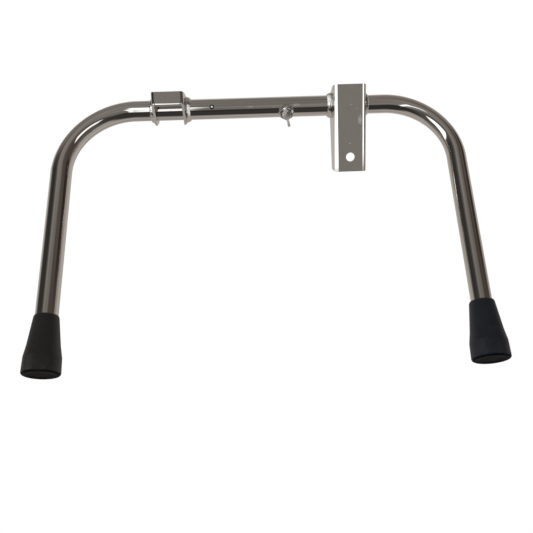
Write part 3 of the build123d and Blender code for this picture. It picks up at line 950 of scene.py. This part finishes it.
def weld_bead_rule():
    tree, size = new_shape("weld_bead", BEAD_SIZES)
    grid = put(tree, "GeometryNodeMeshGrid", {
        "Size X": 1.0, "Size Y": 1.0, "Vertices X": SECTION_STEPS + 1, "Vertices Y": ROUND_STEPS + 1,
    })
    spot = put(tree, "ShaderNodeSeparateXYZ", {0: put(tree, "GeometryNodeInputPosition").outputs[0]}).outputs
    column = times(tree, plus(tree, spot[0], 0.5), float(SECTION_STEPS))
    column = math_node(tree, "ROUND", column)
    turn = times(tree, plus(tree, spot[1], 0.5), math.tau)
    across = math_node(tree, "DIVIDE", column, SECTION_STEPS - 2.0)
    across = times(tree, across, math_node(tree, "LESS_THAN", column, SECTION_STEPS - 0.5))
    lean = times(tree, math_node(tree, "MINIMUM", across, 1.0), math.pi / 2)
    on_skin = minus(tree, 1.0, math_node(tree, "COMPARE", column, SECTION_STEPS - 1.0, 0.1))
    sine, cosine = math_node(tree, "SINE", turn), math_node(tree, "COSINE", turn)
    circle = put(tree, "ShaderNodeCombineXYZ", {0: sine, 1: cosine, 2: size["Seed"]}).outputs[0]
    wander = noise_field(tree, circle, 2.2)
    jitter = noise_field(tree, circle, 9.0)
    middle = minus(tree, across, 0.5)
    each_turn = math_node(tree, "DIVIDE", size["Crescents"], math.tau)
    bowed = times(tree, middle, middle)
    phase = weighted(tree, (turn, each_turn), (bowed, CRESCENT_BOW), (jitter, CRESCENT_JITTER))
    saw = math_node(tree, "FRACT", phase)
    crescent = times(tree, times(tree, saw, minus(tree, 1.0, saw)), 4.0)
    crown = math_node(tree, "SINE", times(tree, lean, 2.0))
    lift = times(tree, times(tree, crescent, crown), size["Crescent Height"])
    sway = plus(tree, 1.0, times(tree, minus(tree, wander, 0.5), size["Unevenness"]))

    def bead_leg(kind, length):
        """One way across the bead's section: a full quarter round, swaying, with the crescents on it."""
        quarter = math_node(tree, "MAXIMUM", math_node(tree, kind, lean), 0.0)
        full = math_node(tree, "POWER", quarter, size["Fullness"])
        swayed = times(tree, full, times(tree, length, sway))
        return times(tree, plus(tree, swayed, lift), on_skin)

    along, out = bead_leg("COSINE", size["Leg On Tube"]), bead_leg("SINE", size["Leg On Plate"])
    radius = plus(tree, size["Tube Radius"], out)
    place = put(tree, "ShaderNodeCombineXYZ", {
        0: plus(tree, size["Start X"], times(tree, along, size["Direction"])),
        1: times(tree, sine, radius),
        2: plus(tree, size["Bar Height"], times(tree, cosine, radius)),
    }).outputs[0]
    wrapped = put(tree, "GeometryNodeSetPosition", {"Geometry": grid.outputs[0], "Position": place})
    joined = put(tree, "GeometryNodeMergeByDistance", {"Geometry": wrapped.outputs[0], "Distance": 0.000001})
    end_shape(tree, joined.outputs[0], size["Finish"])
    return tree


bead_rule = weld_bead_rule()
print("bead rule nodes:", len(bead_rule.nodes))

# %% [markdown]
# ## The four beads
# Two beads on each bracket, one outside each flange. Each has its own seed, and the number of
# crescents differs by a few, as it does between runs of the same hand.

# %% Weld beads
def faced_outward(piece):
    work = bmesh.new()
    work.from_mesh(piece.data)
    bmesh.ops.recalc_face_normals(work, faces=work.faces)
    work.to_mesh(piece.data)
    print(piece.name, "closed:", not any(e.is_boundary for e in work.edges))
    work.free()
    return piece


BEAD_ON_TUBE, BEAD_ON_PLATE, BEAD_FULLNESS = 5.7 * MM, 3.3 * MM, 1.25
BEAD_CRESCENT, BEAD_UNEVENNESS = 0.14 * MM, 0.14
# Each bead: node, the flange's side, direction along the bar, crescents, seed.
BEADS = (
    ("saddle_weld_outboard", SADDLE_X - HALF_BRACKET, -1, 27, 1.0),
    ("saddle_weld_inboard", SADDLE_X + HALF_BRACKET, 1, 25, 2.0),
    ("socket_weld_inboard", SOCKET_X - HALF_BRACKET, -1, 26, 3.0),
    ("socket_weld_outboard", SOCKET_X + HALF_BRACKET, 1, 28, 4.0),
)
for node, start, direction, crescents, seed in BEADS:
    legs = (BEAD_ON_TUBE, BEAD_ON_PLATE, BEAD_FULLNESS)
    values = (
        start, direction, OUTER_RADIUS, BAR_HEIGHT, *legs, crescents, BEAD_CRESCENT, BEAD_UNEVENNESS, seed
    )
    sizes = dict(zip(BEAD_SIZES, values))
    bead = faced_outward(grow(node + "_bead", bead_rule, sizes, finish["weld"]))
    fit(bead, node, "outer_leg")

# %% [markdown]
# ## Turned pieces
# The nut, screw, rivet, washers and ferrules are all round about an axis. One helper sweeps a
# list of stations round that axis. A station's radius may also be a rule of the angle, which
# makes a hexagon or a mould line with the same few lines.

# %% Turning helper
def turned(name, stations, base, outward, across, look, steps=96, loop=False, sharp=None):
    """Closed surface round an axis; a station is (radius or rule of the angle, height)."""
    side = outward.cross(across)
    work = bmesh.new()
    rings = []
    for radius, height in stations:
        middle = base + outward * height
        if radius == 0:
            rings.append([work.verts.new(middle)])
            continue
        ring = []
        for step in range(steps):
            angle = math.tau * step / steps
            reach = radius(angle) if callable(radius) else radius
            ring.append(work.verts.new(middle + (across * math.cos(angle) + side * math.sin(angle)) * reach))
        rings.append(ring)
    pairs = list(zip(rings, rings[1:])) + ([(rings[-1], rings[0])] if loop else [])
    for lower, upper in pairs:
        for step in range(steps):
            after = (step + 1) % steps
            corners = [lower[step % len(lower)], lower[after % len(lower)]]
            corners += [upper[after % len(upper)], upper[step % len(upper)]]
            face = work.faces.new(list(dict.fromkeys(corners)))
            face.smooth = True
    bmesh.ops.recalc_face_normals(work, faces=work.faces)
    mesh = bpy.data.meshes.new(name)
    work.to_mesh(mesh)
    print(name, "closed:", not any(e.is_boundary for e in work.edges))
    work.free()
    mesh.materials.append(finish[look])
    if sharp:
        mesh.set_sharp_from_angle(angle=math.radians(sharp))
    return show(name, mesh)


def rounded(corners, steps=6):
    """Stations from corners (radius, height, rounding): each corner becomes an arc."""
    stations = []
    for number, (r, z, rounding) in enumerate(corners):
        here = Vector((r, z))
        if rounding == 0:
            stations.append((r, z))
            continue
        before = (Vector(corners[number - 1][:2]) - here).normalized()
        after = (Vector(corners[(number + 1) % len(corners)][:2]) - here).normalized()
        half = before.angle(after) / 2
        middle = here + (before + after).normalized() * (rounding / math.sin(half))
        start = here + before * (rounding / math.tan(half)) - middle
        finish_at = here + after * (rounding / math.tan(half)) - middle
        swing = start.angle_signed(finish_at)
        for step in range(steps + 1):
            turn = -swing * step / steps
            swung, across = math.cos(turn), math.sin(turn)
            spoke = Vector((start.x * swung - start.y * across, start.x * across + start.y * swung))
            stations.append(tuple(middle + spoke))
    return stations


# %% [markdown]
# ## Clamp nut
# A plain hexagon nut stands on the tube and holds the clamp screw. Its outer face has the usual
# cone turned on it, which cuts each corner to a curve. The hexagon is a rule of the angle, and
# the cone is a limit on it, so the curved corners come by themselves.

# %% Clamp nut
ALONG_BAR = Vector((1, 0, 0))
clamp_out = Vector((0, -math.cos(CLAMP_ANGLE), -math.sin(CLAMP_ANGLE)))
clamp_base = Vector((CLAMP_X, 0, BAR_HEIGHT))
NUT_FLATS, NUT_HEIGHT, THREAD_BORE = 16 * MM, 6.5 * MM, 4.1 * MM


def hexagon(limit):
    """Radius of the hexagon at an angle, but never more than the turned limit."""
    def radius(angle):
        from_flat = (angle + math.pi / 6) % (math.pi / 3) - math.pi / 6
        return min(NUT_FLATS / 2 / math.cos(from_flat), limit)
    return radius


corner = NUT_FLATS / 2 / math.cos(math.pi / 6)
top = OUTER_RADIUS + NUT_HEIGHT
CONE_DEPTH, CONE_RIM, CONE_STEPS, BORE_CHAMFER = 0.95 * MM, 7.5 * MM, 8, 0.6 * MM
stations = [(THREAD_BORE, OUTER_RADIUS + BORE_CHAMFER), (THREAD_BORE + BORE_CHAMFER, OUTER_RADIUS)]
stations.append((hexagon(corner), OUTER_RADIUS))
for step in range(CONE_STEPS + 1):
    limit = corner - (corner - CONE_RIM) * step / CONE_STEPS
    stations.append((hexagon(limit), top - CONE_DEPTH * (1 - step / CONE_STEPS)))
stations += [(THREAD_BORE + BORE_CHAMFER, top), (THREAD_BORE, top - BORE_CHAMFER)]
nut = turned(
    "clamp_hexagon_nut", stations, clamp_base, clamp_out, ALONG_BAR, "nut", steps=144, loop=True, sharp=24
)
fit(nut, "clamp_nut", "outer_leg")

# %% [markdown]
# ## Weld round the nut
# The nut is flat and the tube is round, so the welder fills the wedge between them and runs on
# round the nut. The bead is a closed ring of sections. Each section starts under the nut, meets
# the tube at its own height, swells, and ends on the nut's side.

# %% Weld round the nut
NUT_BEAD_TOE, NUT_BEAD_TOP, NUT_BEAD_SWELL = 9.5 * MM, 1.1 * MM, 0.35 * MM
NUT_BEAD_BORE, NUT_BEAD_SUNK = 7.2 * MM, 0.1 * MM


def tube_top(reach, angle):
    """Height of the tube's skin over its axis, this far from the clamp's axis."""
    return math.sqrt(OUTER_RADIUS ** 2 - (reach * math.sin(angle)) ** 2)


def nut_bead():
    work = bmesh.new()
    rings, steps, curve = [], 180, 7
    for step in range(steps):
        angle = math.tau * step / steps
        ripple = 0.09 * MM * math.sin(21 * angle + math.sin(3 * angle)) + 0.15 * MM * math.sin(2 * angle + 1)
        toe = NUT_BEAD_TOE - 0.8 * MM * math.sin(angle) ** 2 + ripple
        side = hexagon(corner)(angle) - 0.05 * MM
        foot, top_at = tube_top(toe, angle) - NUT_BEAD_SUNK, OUTER_RADIUS + NUT_BEAD_TOP + ripple
        under_bore = tube_top(NUT_BEAD_BORE, angle) - NUT_BEAD_SUNK
        section = [(NUT_BEAD_BORE, OUTER_RADIUS + NUT_BEAD_SUNK), (NUT_BEAD_BORE, under_bore)]
        for part in range(curve + 1):
            share = part / curve
            swell = (NUT_BEAD_SWELL + ripple) * math.sin(math.pi * share)
            section.append((toe + (side - toe) * share + swell, foot + (top_at - foot) * share))
        across = ALONG_BAR * math.cos(angle) + clamp_out.cross(ALONG_BAR) * math.sin(angle)
        rings.append(
            [work.verts.new(clamp_base + across * reach + clamp_out * height) for reach, height in section]
        )
    count = len(rings[0])
    for ring, after in zip(rings, rings[1:] + rings[:1]):
        for spot in range(count):
            nearby = (spot + 1) % count
            work.faces.new((ring[spot], ring[nearby], after[nearby], after[spot])).smooth = True
    bmesh.ops.recalc_face_normals(work, faces=work.faces)
    mesh = bpy.data.meshes.new("clamp_nut_weld_bead")
    work.to_mesh(mesh)
    print("nut bead closed:", not any(e.is_boundary for e in work.edges))
    work.free()
    mesh.materials.append(finish["weld"])
    return show("clamp_nut_weld_bead", mesh)


fit(nut_bead(), "clamp_nut_weld", "outer_leg")

# %% [markdown]
# ## Stop rivet
# A small domed rivet through the outer tube stops the inner one from sliding too far in. Its
# head is a slice of a ball, so its stations follow the ball's own formula.

# %% Stop rivet
rivet_base = Vector((RIVET_X, 0, BAR_HEIGHT))
HEAD_RADIUS, HEAD_HEIGHT, SHANK_RADIUS = 3.0 * MM, 1.1 * MM, 1.6 * MM
SHANK_PAST_WALL, SHANK_CHAMFER, HEAD_SUNK, DOME_STEPS = 2.5 * MM, 0.3 * MM, 0.6 * MM, 8
ball_radius = (HEAD_RADIUS ** 2 + HEAD_HEIGHT ** 2) / (2 * HEAD_HEIGHT)
ball_middle = OUTER_RADIUS + HEAD_HEIGHT - ball_radius
rim_angle = math.asin(HEAD_RADIUS / ball_radius)
shank_end = OUTER_RADIUS - OUTER_WALL - SHANK_PAST_WALL
head_seat = OUTER_RADIUS - HEAD_SUNK
stations = [(0, shank_end), (SHANK_RADIUS - SHANK_CHAMFER, shank_end)]
stations += [(SHANK_RADIUS, shank_end + SHANK_CHAMFER), (SHANK_RADIUS, head_seat), (HEAD_RADIUS, head_seat)]
for step in range(DOME_STEPS + 1):
    angle = rim_angle * (1 - step / DOME_STEPS)
    reach = ball_radius * math.sin(angle) if step < DOME_STEPS else 0
    stations.append((reach, ball_middle + ball_radius * math.cos(angle)))
rivet = turned("stop_rivet_domed", stations, rivet_base, RIVET_OUT, ALONG_BAR, "rivet", steps=64, sharp=50)
fit(rivet, "stop_rivet", "outer_leg")

# %% [markdown]
# ## Clamp screw
# The screw is a casting: a tapered hub with two ears, rough and soft at every edge. The head is
# cut from the solid and melted a little. Under it comes a real thread, a ridge that a spiral
# curve carries down the core.

# %% Rule for a thread
THREAD_SIZES = ("Core Radius", "Crest Radius", "Pitch", "Length")


def thread_rule():
    tree, size = new_shape("screw_thread", THREAD_SIZES)
    turns = math_node(tree, "DIVIDE", size["Length"], size["Pitch"])
    spiral = put(tree, "GeometryNodeCurveSpiral", {
        "Resolution": 48, "Rotations": turns, "Start Radius": size["Core Radius"],
        "End Radius": size["Core Radius"], "Height": size["Length"],
    })
    upright = put(tree, "GeometryNodeSetCurveNormal", {"Curve": spiral.outputs[0]}, mode="Z_UP")
    depth = minus(tree, size["Crest Radius"], size["Core Radius"])
    ridge = put(tree, "GeometryNodeCurvePrimitiveCircle", {"Resolution": 4, "Radius": depth})
    swept = put(tree, "GeometryNodeCurveToMesh", {
        "Curve": upright.outputs[0], "Profile Curve": ridge.outputs[0], "Fill Caps": True,
    })
    end_shape(tree, swept.outputs[0], size["Finish"])
    return tree


screw_thread_rule = thread_rule()
print("thread rule nodes:", len(screw_thread_rule.nodes))

# %% Wing screw
SCREW_RADIUS, SCREW_CORE, SCREW_PITCH = 3.95 * MM, 3.45 * MM, 1.25 * MM
TIP_GAP, TIP_CHAMFER, HUB_GAP, CORE_IN_HUB = 0.3 * MM, 1.0 * MM, 1.0 * MM, 0.5 * MM
CAST_GRAIN = 0.25 * MM
screw_tip = INNER_RADIUS + TIP_GAP
hub_base = OUTER_RADIUS + NUT_HEIGHT + HUB_GAP
screw = show("clamp_wing_screw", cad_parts["wing_screw"].data.copy())
work = bmesh.new()
work.from_mesh(screw.data)
bmesh.ops.remove_doubles(work, verts=work.verts, dist=1e-6)
cut_at = clamp_base + clamp_out * (hub_base + 0.02 * MM)
everything = work.verts[:] + work.edges[:] + work.faces[:]
bmesh.ops.bisect_plane(work, geom=everything, plane_co=cut_at, plane_no=clamp_out, clear_inner=True)
bmesh.ops.holes_fill(work, edges=[e for e in work.edges if e.is_boundary])
work.to_mesh(screw.data)
work.free()
screw.data.materials.clear()
screw.data.materials.append(finish["screw"])
remesh = screw.modifiers.new("remesh", "REMESH")
remesh.mode, remesh.voxel_size, remesh.use_smooth_shade = "VOXEL", CAST_GRAIN, True
soften = screw.modifiers.new("soften", "SMOOTH")
soften.factor, soften.iterations = 0.5, 12
plain_mesh(screw)
thread_length = hub_base - screw_tip - 2 * SCREW_PITCH
thread_sizes = dict(zip(THREAD_SIZES, (SCREW_CORE, SCREW_RADIUS, SCREW_PITCH, thread_length)))
thread = grow("clamp_screw_thread", screw_thread_rule, thread_sizes, finish["screw"])
core_end = hub_base + CORE_IN_HUB
core_stations = [(0, screw_tip), (SCREW_CORE - TIP_CHAMFER, screw_tip), (SCREW_CORE, screw_tip + TIP_CHAMFER)]
core_stations += [(SCREW_CORE, core_end), (0, core_end)]
core = turned(
    "clamp_screw_core", core_stations, clamp_base, clamp_out, ALONG_BAR, "screw", steps=64, sharp=50
)
side_way = clamp_out.cross(ALONG_BAR)
stand = Matrix((ALONG_BAR, side_way, clamp_out)).transposed().to_4x4()
stand.translation = clamp_base + clamp_out * (screw_tip + 1.2 * SCREW_PITCH)
thread.data.transform(stand)
work = bmesh.new()
for part in (screw, thread, core):
    work.from_mesh(part.data)
work.to_mesh(screw.data)
print("screw closed:", not any(e.is_boundary for e in work.edges))
work.free()
for part in (thread, core):
    bpy.data.objects.remove(part)
fit(screw, "wing_screw", "clamp")

# %% [markdown]
# ## Washers
# A steel washer lies in each ferrule so that the tube's thin edge doesn't cut through the
# rubber. Punching leaves it with one rounded and one sharp edge; a small rounding does for both.

# %% Washers
FERRULE_FLOOR, WASHER_THICKNESS, WASHER_HOLE, WASHER_PLAY = 9 * MM, 1.6 * MM, 4 * MM, 0.2 * MM
UP, EAST = Vector((0, 0, 1)), Vector((1, 0, 0))
LEGS = (
    ("left", LEFT_LEG, OUTER_RADIUS, "outer_leg"),
    ("right", RIGHT_LEG, INNER_RADIUS, "inner_leg"),
)
for side, leg_x, tube_radius, body in LEGS:
    rim, low, high, edge = tube_radius - WASHER_PLAY, FERRULE_FLOOR, FERRULE_FLOOR + WASHER_THICKNESS, 0.3 * MM
    corners = [(WASHER_HOLE, low, edge), (rim, low, edge), (rim, high, edge), (WASHER_HOLE, high, edge)]
    washer = turned(
        side + "_punched_washer", rounded(corners), Vector((leg_x, 0, 0)), UP, EAST, "washer", loop=True
    )
    fit(washer, side + "_washer", body)

# %% [markdown]
# ## Rubber ferrules
# Each foot is one moulding: a cup for the tube, a cone that flares faster near the floor, a band
# round the foot and a shallow dish in the tread. Rubber has no sharp corner, so every corner of
# its outline is an arc. The mould's seam is a thin raised line on both sides, a rule of the
# angle again.

# %% Ferrules
RIM_WALL, RIM_HEIGHT, RIM_CHAMFER, RIM_SLOPE = 1.4 * MM, 67 * MM, 1.6 * MM, 0.9 * MM
FLARE, BAND, BASE, DISH = (18.2 * MM, 33 * MM), (20.7 * MM, 19.5 * MM), 21.3 * MM, (
    16 * MM, 12 * MM, 0.8 * MM
)
SEAM_RISE, SEAM_HALF_WIDTH = 0.07 * MM, 0.022


def with_seam(radius):
    """The radius, raised in a thin line on the two sides where the mould parts."""
    return lambda angle: radius - SEAM_RISE * min(1.0, abs(math.sin(angle)) / SEAM_HALF_WIDTH)


for side, leg_x, tube_radius, body in LEGS:
    bore, rim = tube_radius + 0.05 * MM, OUTER_RADIUS + RIM_WALL
    inside = [(0, FERRULE_FLOOR, 0), (bore, FERRULE_FLOOR, 1.0 * MM), (bore, RIM_HEIGHT, 0.12 * MM)]
    outside = [
        (rim - RIM_SLOPE, RIM_HEIGHT, 0.12 * MM), (rim, RIM_HEIGHT - RIM_CHAMFER, 0.8 * MM),
        (*FLARE, 20 * MM), (*BAND, 3 * MM), (BASE, 0, 3 * MM),
    ]
    tread = [(DISH[0], 0, 0.6 * MM), (DISH[1], DISH[2], 0.8 * MM), (0, DISH[2], 0)]
    corners = inside + outside + tread
    stations = rounded(corners, steps=8)
    seamed = []
    for radius, height in stations:
        outer_side = radius > tube_radius + 0.6 * MM and height > 1.5 * MM and height < RIM_HEIGHT - 0.5 * MM
        seamed.append((with_seam(radius) if outer_side else radius, height))
    ferrule = turned(
        side + "_rubber_ferrule", seamed, Vector((leg_x, 0, 0)), UP, EAST, side + "_rubber", steps=360
    )
    fit(ferrule, side + "_ferrule", body)
